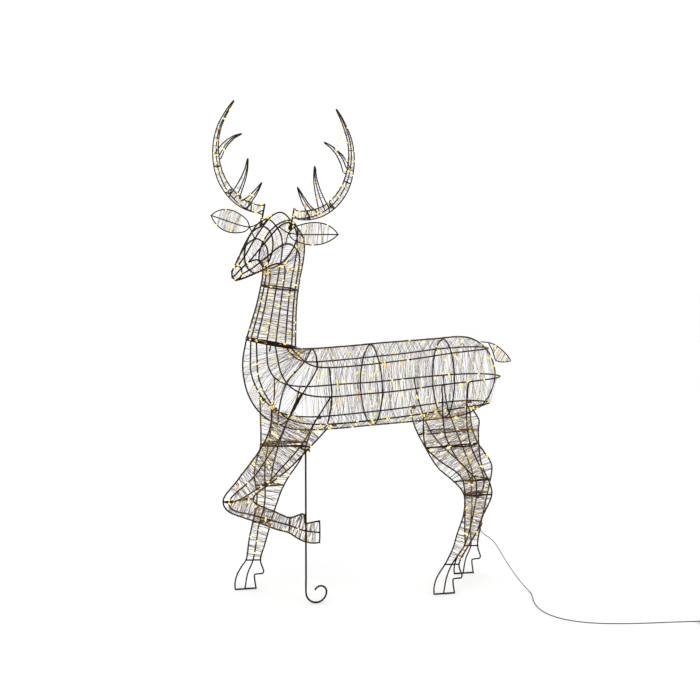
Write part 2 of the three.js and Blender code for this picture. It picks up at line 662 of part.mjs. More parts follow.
// ---- Clips and connectors ----
// An upside-down U that straddles two wires; width and height are its inside, z = 0 is its open edge.
function staple(width, height, length = CLIP_LENGTH, wall = CLIP_WALL) {
  const [w, h] = [width / 2, height];
  const outline = [[-w - wall, 0], [-w, 0], [-w, h], [w, h], [w, 0], [w + wall, 0], [w + wall, h + wall],
    [-w - wall, h + wall]];
  const shape = new THREE.Shape(outline.map((p) => new THREE.Vector2(...p)));
  const solid = new THREE.ExtrudeGeometry(shape, { depth: length, bevelEnabled: false });
  return solid.translate(0, 0, -length / 2).rotateX(Math.PI / 2);
}

// Inside size of a collar clip; drop is how far it reaches below the collar ring's centre.
const CLIP_DROP = 1.2;
const COLLAR_CLIP = {
  width: WIRE + WELD + SAG + 2 * GAP,
  height: NECK_SEAT + WIRE / 2 + GAP + CLIP_DROP,
  drop: CLIP_DROP,
};

function legClip(leg, kind) {
  const [from, to] = topBar(leg, kind);
  const middle = mix(from, to, 0.62);
  const along = to.clone().sub(from).normalize();
  const up = new THREE.Vector3(0, 0, 1).addScaledVector(along, -along.z).normalize();
  const across = along.clone().cross(up);
  const clearance = WIRE + 2 * GAP;
  const clip = staple(clearance, FOOT_DROP + clearance);
  const pose = new THREE.Matrix4().makeBasis(across, along, up);
  pose.setPosition(middle.addScaledVector(up, -clearance / 2));
  return clip.applyMatrix4(pose);
}

// A connector half: a round body that tapers to its lead; it lies along +z, its mating face at z = 0.
function connectorHalf(radius, length) {
  const neck = radius * 0.55;
  const profile = [[0, 0], [radius, 0], [radius, length * 0.6], [neck, length * 0.75], [neck, length],
    [0, length]];
  return lathe(profile, 10).rotateX(Math.PI / 2);
}

// ---- Power lead, its coil and the adapter ----
// The boot sits on the shank at `at`, facing `next`.
const BOOT = { at: [339, 215], next: [331, 194], radius: 2.6, length: 18 };
const LEAD_ROUTE = [[341, -98, 186], [352, -99, 176], [366, -100, 166], [380, -101, 154], [395, -103, 133],
  [409, -105, 109], [425, -108, 82], [444, -111, 54], [463, -116, 28], [477, -124, 10], [483, -140, 2.4],
  [480, -165, 1.6], [468, -205, 1.6], [451, -262, 1.6], [443, -320, 1.6], [446, -368, 1.6], [463, -415, 1.6],
  [497, -455, 1.6], [545, -484, 1.6], [605, -503, 1.6], [670, -515, 1.6], [735, -523, 1.6], [795, -530, 1.6],
  [845, -538, 1.6]];
const COIL = { inner: 11, outer: 21, height: 12.5 };
const COIL_CENTRE = [845, -538 - COIL.outer - LEAD];
const ADAPTER = { length: 62, width: 44, height: 30, corner: 6, x: 905, y: -560 };
const BLADE = { length: 16, width: 1.5, height: 6.4, spacing: 12.7 };

// The boot is clipped round the rear left shank's back wire and points down it: y is down, z is outwards.
function bootPose() {
  const shank = legWire(LEGS.rear_leg_left, 'back');
  const at = nearest(shank, BOOT.at);
  const down = nearest(shank, BOOT.next).sub(at).setY(0).normalize();
  const out = new THREE.Vector3(-down.z, 0, down.x);
  return new THREE.Matrix4().makeBasis(down.clone().cross(out), down, out).setPosition(at);
}

const bootClearance = WIRE + 2 * GAP;
const bootAxis = bootClearance / 2 + CLIP_WALL + BOOT.radius * 0.8;   // from the shank to the boot's middle

function leadBoot() {
  const [r, end, length] = [BOOT.radius, LEAD / 2 + 0.6, BOOT.length];
  const profile = [[0, 0], [r, 0], [r, length * 0.5], [end, length], [0, length]];
  const sleeve = lathe(profile, 10);
  const clip = staple(bootClearance, bootClearance).translate(0, CLIP_LENGTH / 2, -bootClearance / 2);
  return joined([sleeve.translate(0, 0, bootAxis), clip]).applyMatrix4(bootPose());
}

function leadPath() {
  const start = [BOOT.length + GAP, BOOT.length + 2 * LEAD];
  const ends = start.map((y) => new THREE.Vector3(0, y, bootAxis).applyMatrix4(bootPose()));
  return [...ends, ...LEAD_ROUTE];
}

function coilSolid() {
  const profile = [[COIL.inner, 0], [COIL.outer, 0], [COIL.outer, COIL.height], [COIL.inner, COIL.height],
    [COIL.inner, 0]];
  return lathe(profile, 24).rotateX(Math.PI / 2);
}

function adapterHousing() {
  const [w, h, r] = [ADAPTER.length / 2, ADAPTER.width / 2, ADAPTER.corner];
  const shape = new THREE.Shape();
  shape.moveTo(-w + r, -h).lineTo(w - r, -h).absarc(w - r, -h + r, r, -Math.PI / 2, 0);
  shape.absarc(w - r, h - r, r, 0, Math.PI / 2).absarc(-w + r, h - r, r, Math.PI / 2, Math.PI);
  shape.absarc(-w + r, -h + r, r, Math.PI, 1.5 * Math.PI);
  return new THREE.ExtrudeGeometry(shape, { depth: ADAPTER.height, bevelEnabled: false, curveSegments: 3 });
}

// ---- Assembly ----
add(model, 'body_frame', framePaint, torsoFrame());
add(model, 'light_string_body', stringWire, torsoString());

const collar = new THREE.Group();
collar.position.copy(point(COLLAR_CENTRE).addScaledVector(collarAxis, NECK_SEAT));
collar.rotation.y = radians(NECK_TILT);
model.add(collar);
const head = new THREE.Group();
head.rotation.z = radians(HEAD_TURN);
collar.add(head);
add(head, 'neck_head_frame', framePaint, neckHeadFrame());
add(head, 'light_string_neck_head', stringWire, neckHeadString());
[['left', -1], ['right', 1]].forEach(([name, side]) => {
  add(head, `antler_${name}`, framePaint, antlerFrame(side));
  add(head, `light_string_antler_${name}`, stringWire, antlerString(side));
  add(head, `ear_${name}`, framePaint, earFrame(side));
  add(head, `light_string_ear_${name}`, stringWire, earString(side));
});
for (let i = 0; i < 4; i += 1) {
  const turn = radians(22.5 + 90 * i);
  const shape = staple(COLLAR_CLIP.width, COLLAR_CLIP.height);
  const clip = add(head, `collar_clip_${i + 1}`, clipPlastic, shape);
  const radius = COLLAR_RADIUS - (WELD + SAG) / 2;
  clip.position.set(radius * Math.cos(turn), radius * Math.sin(turn), -NECK_SEAT - COLLAR_CLIP.drop);
  clip.rotation.z = turn;
}
const neckPlug = add(head, 'neck_connector_plug', clipPlastic, connectorHalf(PLUG.radius, PLUG.length));
neckPlug.position.z = -PLUG.drop;
const socketHalf = connectorHalf(PLUG.radius + 0.8, PLUG.length);
const neckSocket = add(collar, 'neck_connector_socket', clipPlastic, socketHalf);
neckSocket.rotation.x = Math.PI;
neckSocket.position.z = -PLUG.drop - GAP;

add(model, 'tail', framePaint, tailFrame());
add(model, 'light_string_tail', stringWire, tailString());

Object.entries(LEGS).forEach(([name, leg]) => {
  add(model, name, framePaint, legFrame(leg));
  add(model, `light_string_${name}`, stringWire, legString(leg));
  add(model, `${name}_clip_front`, clipPlastic, legClip(leg, 'front'));
  add(model, `${name}_clip_back`, clipPlastic, legClip(leg, 'back'));
});
add(model, 'support_rod', framePaint, supportRod());

add(model, 'lead_boot', clipPlastic, leadBoot());
add(model, 'power_lead', leadVinyl, sweep(stepsOf(leadPath(), false, 0.6), LEAD, 8));
const coil = add(model, 'lead_coil', leadVinyl, coilSolid());
coil.position.set(...COIL_CENTRE, 0);
const housing = add(model, 'adapter_housing', adapterPlastic, adapterHousing());
housing.position.set(ADAPTER.x, ADAPTER.y, 0);
[-1, 1].forEach((side) => {
  const blade = new THREE.BoxGeometry(BLADE.length, BLADE.width, BLADE.height);
  const piece = add(model, side < 0 ? 'adapter_blade_near' : 'adapter_blade_far', bladeBrass, blade);
  const x = ADAPTER.x + (ADAPTER.length + BLADE.length) / 2 + GAP;
  piece.position.set(x, ADAPTER.y + (side * BLADE.spacing) / 2, ADAPTER.height / 2);
});

model.position.set(-CENTRE.x, -CENTRE.y, 0);

export default model;
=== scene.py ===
"""Looks of a light-up yard buck: a wire-frame deer wound with fine light strings, on a plain pale floor."""

import json
import math
import random

import bmesh
import bpy
import numpy as np
from mathutils import Matrix, Vector


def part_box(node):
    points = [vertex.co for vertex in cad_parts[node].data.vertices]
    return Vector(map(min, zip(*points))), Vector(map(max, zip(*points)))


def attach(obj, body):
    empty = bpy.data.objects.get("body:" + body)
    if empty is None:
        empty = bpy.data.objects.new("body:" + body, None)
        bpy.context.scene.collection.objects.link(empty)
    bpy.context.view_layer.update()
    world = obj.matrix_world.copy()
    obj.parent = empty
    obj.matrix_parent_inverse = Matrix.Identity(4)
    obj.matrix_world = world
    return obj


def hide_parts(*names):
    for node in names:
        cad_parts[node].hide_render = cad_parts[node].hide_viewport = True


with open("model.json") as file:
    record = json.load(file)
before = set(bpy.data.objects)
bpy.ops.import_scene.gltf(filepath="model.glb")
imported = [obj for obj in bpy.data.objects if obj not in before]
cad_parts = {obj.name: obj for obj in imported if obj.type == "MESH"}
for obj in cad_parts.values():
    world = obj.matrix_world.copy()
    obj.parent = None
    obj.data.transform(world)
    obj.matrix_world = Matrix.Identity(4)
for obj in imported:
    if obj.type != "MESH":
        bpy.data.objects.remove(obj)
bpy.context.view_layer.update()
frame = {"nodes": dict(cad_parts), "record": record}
record = frame["record"]

MM = 0.001
CENTRE = Vector((7.19, -60.8, 0)) * MM      # the deer's middle, where the row frame's origin lies

# ---- Frame wires: the radius of each CAD wire's section, corner to middle, and its number of sides ----
WIRE = (2.1 * MM, 4)
THIN = (1.6 * MM, 4)
PROP = (2.5 * MM, 6)
COAT = 1.12                      # a painted wire's thickness over the plain CAD wire's
ROUND_SIDES = 8                  # sides of a round wire's section
CURVE_STEP = 9 * MM              # from one section to the next along a bent wire
BEAD = (1.15, 1.5)               # a weld bead's half width and half length, in wire radii
TIP_WELD = {"back": 3, "half_width": 2.9, "half_length": 7.5}    # at an antler's tip, in millimetres

# ---- How the CAD wires' straight steps are read and joined; lengths are in wire radii ----
RIDGE = {"shortest": 1.55, "slack_deg": 14}
SAME_STEP = {"aligned": 0.9985, "apart": 1.3 * MM, "overlap": 0.35}
JOIN = {"reach": 4.5, "turn": 0.5, "close": 1.3, "ahead": 0.85, "corner_reach": 2.6, "corner_turn": -0.5,
        "turn_cost": 5}
CORNER = {"sharp_deg": 128, "bend": 2.6, "share": 0.45}
TOUCHING = 2.2                   # centre lines this near belong to wires that touch

# ---- Light strings ----
MICRO = 0.8 * MM                 # diameter of the twisted micro-wire
LED = (2.8 * MM, 4.4 * MM)       # half width and half length of a lamp's resin drop
BUNCHING = {"turns": 6, "depth": 0.85, "stray": 0.7}     # turns in a bunch, its tightness and its unevenness
LAMP_PAIR = {"share": 0.4, "gap": 6.5, "spread": 1.6}    # how often a second lamp is close by, and how far
OFF_WIRE = 1.5                   # millimetres from a frame wire to a lamp that is bound to it
CLOSEST_CORNERS = 1.6 * MM       # corners of a turn nearer than this are one
RNG = random.Random(60)

# ---- Camera ----
CAMERA = {"at": (-893.04, -3488.4, 1024.44), "azimuth": -13.6, "elevation": 4.47, "lens": 61.03, "sensor": 36}

# ---- Neck and head: [back or crown x, z, throat or chin x, z], in the head's own frame ----
NECK_STATIONS = [
    (75, 0, -75, 0), (64, 55, -70, 55), (54, 112, -66, 108), (47, 170, -66, 160), (45, 228, -67, 188),
    (44, 285, -73, 203), (26, 335, -80, 211), (-20, 368, -93, 210), (-70, 382, -108, 205),
    (-112, 366, -128, 199), (-146, 330, -150, 190), (-178, 284, -178, 178), (-203, 240, -203, 168),
    (-229, 204, -231, 160),
]
NECK_REACH = 130
HEAD_TURN = 45                   # degrees, to the deer's left
NECK_SEAT = 4.7                  # millimetres from the collar's ring up to the neck's

# ---- Antlers: [distance from the middle, height] ----
BEAM = [(64, 376), (104, 380), (146, 394), (183, 418), (213, 451), (231, 487), (239, 526), (239, 561),
        (231, 597), (215, 629), (197, 657), (181, 677)]
TINES = [
    [(122, 390), (97, 412), (78, 436), (65, 455)],
    [(158, 408), (138, 446), (124, 482), (119, 518)],
    [(229, 518), (207, 550), (178, 574), (148, 587)],
]
ANTLER_X = -87
ANTLER_LEAN = 0.23
SOCKET = {"y": 53, "z": 332, "inner": 3.1, "outer": 4.6, "height": 24}
PEG = {"diameter": 5, "top": 398}
EAR = {"root": 70, "tip": 228, "x": -116, "sweep": 12, "z": 323, "tip_z": 340}

# ---- Power lead: its route to the coil, in millimetres, listed; then the coil and the adapter ----
LEAD = 2.5
LEAD_ROUTE = [
    (341, -98, 186), (352, -99, 176), (366, -100, 166), (380, -101, 154), (395, -103, 133),
    (409, -105, 109), (425, -108, 82), (444, -111, 54), (463, -116, 28), (477, -124, 10),
    (483, -140, 2.4), (480, -165, 1.6), (468, -205, 1.6), (451, -262, 1.6), (443, -320, 1.6),
    (446, -368, 1.6), (463, -415, 1.6), (497, -455, 1.6), (545, -484, 1.6), (605, -503, 1.6),
    (670, -515, 1.6), (735, -523, 1.6), (795, -530, 1.6), (845, -538, 1.6),
]
BOOT_CORNERS = 10                # corners of the boot's lower end
COIL = {"centre": (845, -561.5), "outer": 19.75, "turns_in_layer": 4, "layers": 5, "steps": 24, "rise": 1.6,
        "entered_at": 3}         # entered_at: the step at which the lead's route joins the outermost turn
ADAPTER = {"length": 62, "width": 44, "height": 30, "corner": 6, "edge": 2, "x": 905, "y": -560,
           "grip": 18}
LEAD_INTO_ADAPTER = (853, 862, 870)
# The parting groove round the adapter, as heights over its middle and how far each is drawn in.
GROOVE = ((1.7, 0), (2.0, 0.35), (2.4, 0.35), (2.7, 0))
SHARP_EDGE = 35                  # degrees


def at(x, y, z):
    """A point of the deer's own frame, in millimetres, as a point of the row frame in metres."""
    return Vector((x, y, z)) * MM - CENTRE


def joint(name):
    return next(j for j in record["behaviour"]["joints"] if j["name"] == name)


def head_matrix():
    """From the head's own frame, in millimetres, to the row frame."""
    swivel = joint("neck_swivel")
    axis = Vector(swivel["axis"]).normalized()
    tilt = math.atan2(axis.x, axis.z)
    seat = Vector(swivel["pos_m"]) + axis * NECK_SEAT * MM
    turn = Matrix.Rotation(tilt, 4, "Y") @ Matrix.Rotation(math.radians(HEAD_TURN), 4, "Z")
    return Matrix.Translation(seat) @ turn @ Matrix.Scale(MM, 4)


HEAD = head_matrix()


# ---------------------------------------------------------------- camera, light and floor
def make_camera():
    data = bpy.data.cameras.new("camera")
    data.sensor_width, data.lens = CAMERA["sensor"], CAMERA["lens"]
    data.clip_start, data.clip_end = 0.05, 50
    camera = bpy.data.objects.new("camera", data)
    bpy.context.scene.collection.objects.link(camera)
    a, e = math.radians(CAMERA["azimuth"]), math.radians(CAMERA["elevation"])
    back = Vector((math.sin(a) * math.cos(e), -math.cos(a) * math.cos(e), math.sin(e)))
    camera.location = at(*CAMERA["at"])
    camera.rotation_mode = "QUATERNION"
    camera.rotation_quaternion = (-back).to_track_quat("-Z", "Y")
    bpy.context.scene.camera = camera


def make_light(name, place, target, size, power):
    data = bpy.data.lights.new(name, "AREA")
    data.shape, data.size, data.energy = "SQUARE", size, power
    light = bpy.data.objects.new(name, data)
    bpy.context.scene.collection.objects.link(light)
    light.location = place
    light.rotation_mode = "QUATERNION"
    light.rotation_quaternion = (Vector(target) - Vector(place)).to_track_quat("-Z", "Y")


def make_studio():
    scene = bpy.context.scene
    world = bpy.data.worlds.new("studio")
    scene.world = world
    world.use_nodes = True
    background = world.node_tree.nodes["Background"]
    background.inputs["Color"].default_value = (1, 1, 1, 1)
    background.inputs["Strength"].default_value = 1.06
    make_light("key", (-2.6, -3.4, 3.2), (0, 0, 0.7), 2.4, 45)
    make_light("fill", (3.2, -2.0, 2.0), (0, 0, 0.7), 2.4, 20)
    scene.view_settings.view_transform = "Standard"
    mesh = bpy.data.meshes.new("floor")
    reach = 30
    corners = [(-reach, -reach, 0), (reach, -reach, 0), (reach, reach, 0), (-reach, reach, 0)]
    mesh.from_pydata(corners, [], [(0, 1, 2, 3)])
    floor = bpy.data.objects.new("floor", mesh)
    scene.collection.objects.link(floor)
    floor.location.z = -0.0002
    floor.data.materials.append(floor_material())


# ---------------------------------------------------------------- materials
class Nodes:
    """A short way to write a material's nodes."""

    def __init__(self, name):
        self.material = bpy.data.materials.new(name)
        self.material.use_nodes = True
        self.tree = self.material.node_tree
        self.shader = self.tree.nodes["Principled BSDF"]

    def add(self, kind, **values):
        node = self.tree.nodes.new(kind)
        for key, value in values.items():
            if hasattr(node, key):
                setattr(node, key, value)
            else:
                node.inputs[key.replace("_", " ")].default_value = value
        return node

    def link(self, source, target):
        self.tree.links.new(source, target)

    def set(self, **values):
        for key, value in values.items():
            self.shader.inputs[key.replace("_", " ")].default_value = value

    def place(self):
        return self.add("ShaderNodeTexCoord").outputs["Object"]

    def noise(self, scale, detail=4, roughness=0.5):
        node = self.add("ShaderNodeTexNoise", Scale=scale, Detail=detail, Roughness=roughness)
        self.link(self.place(), node.inputs["Vector"])
        return node.outputs["Fac"]

    def ramp(self, value, stops):
        node = self.add("ShaderNodeValToRGB")
        elements = node.color_ramp.elements
        while len(elements) < len(stops):
            elements.new(0.5)
        for element, (position, color) in zip(elements, stops):
            element.position, element.color = position, (*color, 1) if len(color) == 3 else color
        self.link(value, node.inputs["Fac"])
        return node.outputs["Color"]

    def scalar(self, value, low, high):
        node = self.add("ShaderNodeMapRange")
        node.inputs["To Min"].default_value, node.inputs["To Max"].default_value = low, high
        self.link(value, node.inputs["Value"])
        return node.outputs["Result"]

    def bump(self, value, strength, distance):
        node = self.add("ShaderNodeBump", Strength=strength, Distance=distance)
        self.link(value, node.inputs["Height"])
        self.link(node.outputs["Normal"], self.shader.inputs["Normal"])


def floor_material():
    m = Nodes("pale_floor")
    m.set(Roughness=0.9)
    tone = m.ramp(m.noise(1.5, 2), [(0.3, (0.93, 0.93, 0.93)), (0.7, (0.95, 0.95, 0.95))])
    m.link(tone, m.shader.inputs["Base Color"])
    return m.material


def frame_paint():
    """Brown-black enamel on bent steel wire: small runs and bumps, worn a little at the high spots."""
    m = Nodes("frame_paint")
    m.set(Metallic=0.0, IOR=1.4, Specular_IOR_Level=0.08)
    wear = m.noise(420, 6, 0.65)
    tone = m.ramp(wear, [(0.0, (0.011, 0.0045, 0.002)), (0.5, (0.017, 0.007, 0.003)),
                         (0.66, (0.028, 0.012, 0.006)), (0.74, (0.060, 0.032, 0.018))])
    m.link(tone, m.shader.inputs["Base Color"])
    m.link(m.scalar(m.noise(160, 3), 0.42, 0.62), m.shader.inputs["Roughness"])
    m.bump(m.noise(700, 3), 0.35, 0.0004)
    return m.material


def string_wire():
    """Enamelled micro-wire: dull brown, with lighter lengths, partly bare copper and partly painted lamp
    light.
    """
    m = Nodes("string_wire")
    m.set(Metallic=0.4)
    # The lighter copper stops are partly bare copper and partly painted light: the lamps' glow painted onto
    # the wire.
    tone = m.ramp(m.noise(26, 3), [(0.30, (0.074, 0.054, 0.050)), (0.46, (0.110, 0.076, 0.054)),
                                   (0.56, (0.22, 0.13, 0.050)), (0.66, (0.42, 0.30, 0.060))])
    m.link(tone, m.shader.inputs["Base Color"])
    m.link(m.scalar(m.noise(90), 0.3, 0.5), m.shader.inputs["Roughness"])
    m.bump(m.noise(1800, 2), 0.3, 0.0002)
    return m.material


def led_glow():
    """A lit lamp's resin drop: warm yellow, and orange in some lamps."""
    m = Nodes("lamp_glow")
    m.set(Roughness=0.2, Emission_Strength=0.95)
    spread = m.noise(37, 2)
    resin = m.ramp(spread, [(0.36, (0.30, 0.17, 0.04)), (0.46, (0.32, 0.27, 0.09))])
    m.link(resin, m.shader.inputs["Base Color"])
    glow = m.ramp(spread, [(0.32, (0.84, 0.46, 0.10)), (0.39, (0.95, 0.66, 0.18)),
                           (0.48, (0.98, 0.82, 0.25))])
    m.link(glow, m.shader.inputs["Emission Color"])
    m.material.cycles.emission_sampling = "NONE"
    return m.material


def clip_plastic():
    m = Nodes("clip_plastic")
    m.set(Coat_Weight=0.1)
    tone = m.ramp(m.noise(90, 4), [(0.35, (0.040, 0.026, 0.018)), (0.7, (0.065, 0.044, 0.030))])
    m.link(tone, m.shader.inputs["Base Color"])
    m.link(m.scalar(m.noise(300), 0.45, 0.65), m.shader.inputs["Roughness"])
    m.bump(m.noise(2200, 2), 0.25, 0.0002)
    return m.material


def lead_vinyl():
    m = Nodes("lead_vinyl")
    tone = m.ramp(m.noise(40, 4), [(0.3, (0.030, 0.019, 0.013)), (0.7, (0.052, 0.034, 0.024))])
    m.link(tone, m.shader.inputs["Base Color"])
    m.link(m.scalar(m.noise(220), 0.38, 0.55), m.shader.inputs["Roughness"])
    m.bump(m.noise(1500, 2), 0.2, 0.0002)
    return m.material


def adapter_plastic():
    m = Nodes("adapter_plastic")
    tone = m.ramp(m.noise(60, 5), [(0.3, (0.012, 0.012, 0.013)), (0.7, (0.022, 0.022, 0.024))])
    m.link(tone, m.shader.inputs["Base Color"])
    m.link(m.scalar(m.noise(260), 0.4, 0.58), m.shader.inputs["Roughness"])
    m.bump(m.noise(2600, 3), 0.35, 0.0002)
    return m.material


def blade_brass():
    m = Nodes("blade_brass")
    m.set(Metallic=1.0)
    tone = m.ramp(m.noise(300, 4), [(0.3, (0.62, 0.42, 0.16)), (0.7, (0.78, 0.58, 0.27))])
    m.link(tone, m.shader.inputs["Base Color"])
    m.link(m.scalar(m.noise(900), 0.22, 0.4), m.shader.inputs["Roughness"])
    m.bump(m.noise(3000, 2), 0.15, 0.0001)
    return m.material


# ---------------------------------------------------------------- meshes
def new_piece(name, vertices, faces, material, body, slot=None):
    """A smooth-shaded mesh that rides on a body."""
    mesh = bpy.data.meshes.new(name)
    mesh.from_pydata([tuple(v) for v in vertices], [], faces)
    mesh.validate()
    mesh.polygons.foreach_set("use_smooth", [True] * len(mesh.polygons))
    piece = bpy.data.objects.new(name, mesh)
    bpy.context.scene.collection.objects.link(piece)
    mesh.materials.append(material)
    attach(piece, body)
    return piece


def tube(points, diameter, sides=5):
    """The vertices and faces of a tube with closed ends along the points."""
    path = np.array([tuple(p) for p in points])
    keep = np.append(True, np.linalg.norm(np.diff(path, axis=0), axis=1) > 1e-6)
    path = path[keep]
    steps = np.diff(path, axis=0)
    steps /= np.linalg.norm(steps, axis=1)[:, None]
    ahead = np.vstack([steps[:1], steps[:-1] + steps[1:], steps[-1:]])
    weak = np.linalg.norm(ahead, axis=1) < 0.2
    ahead[weak] = np.vstack([steps, steps[-1:]])[weak]
    ahead /= np.linalg.norm(ahead, axis=1)[:, None]
    side = np.zeros_like(path)
    axis = np.array([0.0, 0.0, 1.0]) if abs(ahead[0][2]) < 0.9 else np.array([1.0, 0.0, 0.0])
    for i, direction in enumerate(ahead):
        across = axis - direction * (axis @ direction)
        if np.linalg.norm(across) < 1e-4:
            across = np.cross(direction, (0.3, 0.5, 0.8))
        axis = across / np.linalg.norm(across)
        side[i] = axis
    up = np.cross(ahead, side)
    turns = 2 * math.pi * np.arange(sides) / sides
    ring = side[:, None] * np.cos(turns)[None, :, None] + up[:, None] * np.sin(turns)[None, :, None]
    vertices = (path[:, None] + ring * diameter / 2).reshape(-1, 3)
    faces = []
    for i in range(len(path) - 1):
        for k in range(sides):
            a, b = i * sides + k, i * sides + (k + 1) % sides
            faces.append((a, b, b + sides, a + sides))
    faces.append(tuple(reversed(range(sides))))
    faces.append(tuple(range((len(path) - 1) * sides, len(path) * sides)))
    return vertices, faces


def merged(parts):
    """Several (vertices, faces) as one."""
    vertices, faces, start = [], [], 0
    for v, f in parts:
        vertices.append(np.array(v))
        faces.extend(tuple(i + start for i in face) for face in f)
        start += len(v)
    return np.vstack(vertices), faces


def smooth_line(points, step):
    """Points about a step apart on a centripetal Catmull-Rom curve through the given points."""
    points = [Vector(p) for p in points]
    ends = [points[0] * 2 - points[1], *points, points[-1] * 2 - points[-2]]
    line = []
    for p0, p1, p2, p3 in zip(ends, ends[1:], ends[2:], ends[3:]):
        d0, d1, d2 = (max((b - a).length, 1e-5) ** 0.5 for a, b in ((p0, p1), (p1, p2), (p2, p3)))
        out = ((p1 - p0) / d0 - (p2 - p0) / (d0 + d1) + (p2 - p1) / d1) * d1
        into = ((p2 - p1) / d1 - (p3 - p1) / (d1 + d2) + (p3 - p2) / d2) * d1
        count = max(1, math.ceil((p2 - p1).length / step))
        for i in range(count):
            t = i / count
            line.append(p1 + out * t + (3 * (p2 - p1) - 2 * out - into) * t ** 2
                        + (2 * (p1 - p2) + out + into) * t ** 3)
    return [*line, points[-1]]


def drop(place, direction, half_width, half_length, sides=6):
    """A closed spindle along a wire: a lamp's resin drop, or a bead of weld."""
    direction = Vector(direction).normalized()
    turn = Vector((0, 0, 1)).rotation_difference(direction)
    rings = (-0.72, 0.0, 0.72)
    vertices = [Vector((0, 0, -half_length))]
    for height in rings:
        radius = half_width * math.sqrt(1 - height * height)
        for k in range(sides):
            angle = 2 * math.pi * k / sides
            x, y = radius * math.cos(angle), radius * math.sin(angle)
            vertices.append(Vector((x, y, height * half_length)))
    vertices.append(Vector((0, 0, half_length)))
    faces = [(0, 1 + (k + 1) % sides, 1 + k) for k in range(sides)]
    for r in range(len(rings) - 1):
        for k in range(sides):
            a, b = 1 + r * sides + k, 1 + r * sides + (k + 1) % sides
            faces.append((a, b, b + sides, a + sides))
    top = len(vertices) - 1
    first = 1 + (len(rings) - 1) * sides
    faces += [(top, first + k, first + (k + 1) % sides) for k in range(sides)]
    return [tuple(Vector(place) + turn @ v) for v in vertices], faces


# ---------------------------------------------------------------- frame wires
def ridge_lines(node, radius, sides):
    """A wire's centre line beside each long ridge of a CAD frame's straight steps, as starts and ends."""
    fold = 360 / sides
    bm = bmesh.new()
    bm.from_mesh(frame["nodes"][node].data)
    bmesh.ops.remove_doubles(bm, verts=bm.verts, dist=2e-6)
    starts, ends = [], []
    for edge in bm.edges:
        if len(edge.link_faces) != 2 or not edge.is_convex or edge.calc_length() < RIDGE["shortest"] * radius:
            continue
        a, b = (face.normal for face in edge.link_faces)
        if abs(math.degrees(a.angle(b)) - fold) > RIDGE["slack_deg"]:
            continue
        inwards = -(a + b).normalized() * radius
        starts.append(edge.verts[0].co + inwards)
        ends.append(edge.verts[1].co + inwards)
    bm.free()
    return np.array(starts), np.array(ends)


def same_step(starts, ends):
    """Which ridges belong to the same straight step: parallel, on the same line and side by side."""
    size = np.linalg.norm(ends - starts, axis=1)
    ahead = (ends - starts) / size[:, None]
    middle = (starts + ends) / 2
    group = -np.ones(len(size), dtype=int)
    count = 0
    for first in range(len(size)):
        if group[first] >= 0:
            continue
        group[first] = count
        queue = [first]
        while queue:
            k = queue.pop()
            offset = middle - middle[k]
            along = offset @ ahead[k]
            apart = np.linalg.norm(offset - along[:, None] * ahead[k], axis=1)
            overlap = (size + size[k]) / 2 - np.abs(along)
            near = (np.abs(ahead @ ahead[k]) > SAME_STEP["aligned"]) & (apart < SAME_STEP["apart"])
            near &= (overlap > SAME_STEP["overlap"] * np.minimum(size, size[k])) & (group < 0)
            for other in np.flatnonzero(near):
                group[other] = count
                queue.append(other)
        count += 1
    return group


def wire_steps(node, radius, sides):
    """A CAD frame's straight steps of wire, each as its two ends on the centre line."""
    starts, ends = ridge_lines(node, radius, sides)
    group = same_step(starts, ends)
    steps = []
    for k in range(group.max() + 1):
        a, b = starts[group == k], ends[group == k]
        size = np.linalg.norm(b - a, axis=1)
        longest = (b - a)[np.argmax(size)]
        flip = ((b - a) @ longest) < 0
        a[flip], b[flip] = b[flip], a[flip].copy()
        ahead = (b - a).sum(axis=0)
        ahead /= np.linalg.norm(ahead)
        middle = np.average((a + b) / 2, axis=0, weights=size)
        reach = (np.vstack([a, b]) - middle) @ ahead
        steps.append((middle + ahead * reach.min(), middle + ahead * reach.max()))
    return steps


def joined_ends(steps, radius):
    """For each end of each step, the end of the next step that carries the wire on, or -1."""
    spots = np.array([p for step in steps for p in step])
    outwards = np.array([v for a, b in steps for v in ((a - b), (b - a))])
    outwards /= np.linalg.norm(outwards, axis=1)[:, None]
    pairs = []
    for e in range(len(spots)):
        gap = spots - spots[e]
        far = np.linalg.norm(gap, axis=1)
        turn = -(outwards @ outwards[e])
        straight = (gap @ outwards[e]) / np.maximum(far, 1e-9)
        fits = (far < JOIN["reach"] * radius) & (turn > JOIN["turn"])
        fits &= (far < JOIN["close"] * radius) | (straight > JOIN["ahead"])
        fits |= (far < JOIN["corner_reach"] * radius) & (turn > JOIN["corner_turn"])
        for f in np.flatnonzero(fits):
            if f // 2 != e // 2 and f > e:
                pairs.append((far[f] + JOIN["turn_cost"] * radius * (1 - turn[f]), e, f))
    mate = [-1] * len(spots)
    for _, e, f in sorted(pairs):
        if mate[e] < 0 and mate[f] < 0:
            mate[e], mate[f] = f, e
    return mate


def wire_paths(node, radius, sides):
    """A CAD frame's wires as whole lines of points: (points, whether it closes on itself)."""
    steps = wire_steps(node, radius, sides)
    spots = [Vector(p) for step in steps for p in step]
    mate = joined_ends(steps, radius)
    used = set()
    paths = []
    order = [e for e in range(len(spots)) if mate[e] < 0] + list(range(len(spots)))
    for first in order:
        if first // 2 in used:
            continue
        here = first
        points = [spots[here]]
        while True:
            used.add(here // 2)
            far = here ^ 1
            following = mate[far]
            if following < 0 or following // 2 in used:
                points.append(spots[far])
                break
            if (spots[far] - spots[following]).length < TOUCHING * radius:
                points.append((spots[far] + spots[following]) / 2)
            else:
                points += [spots[far], spots[following]]
            here = following
        paths.append((points, mate[first] >= 0))
    return paths


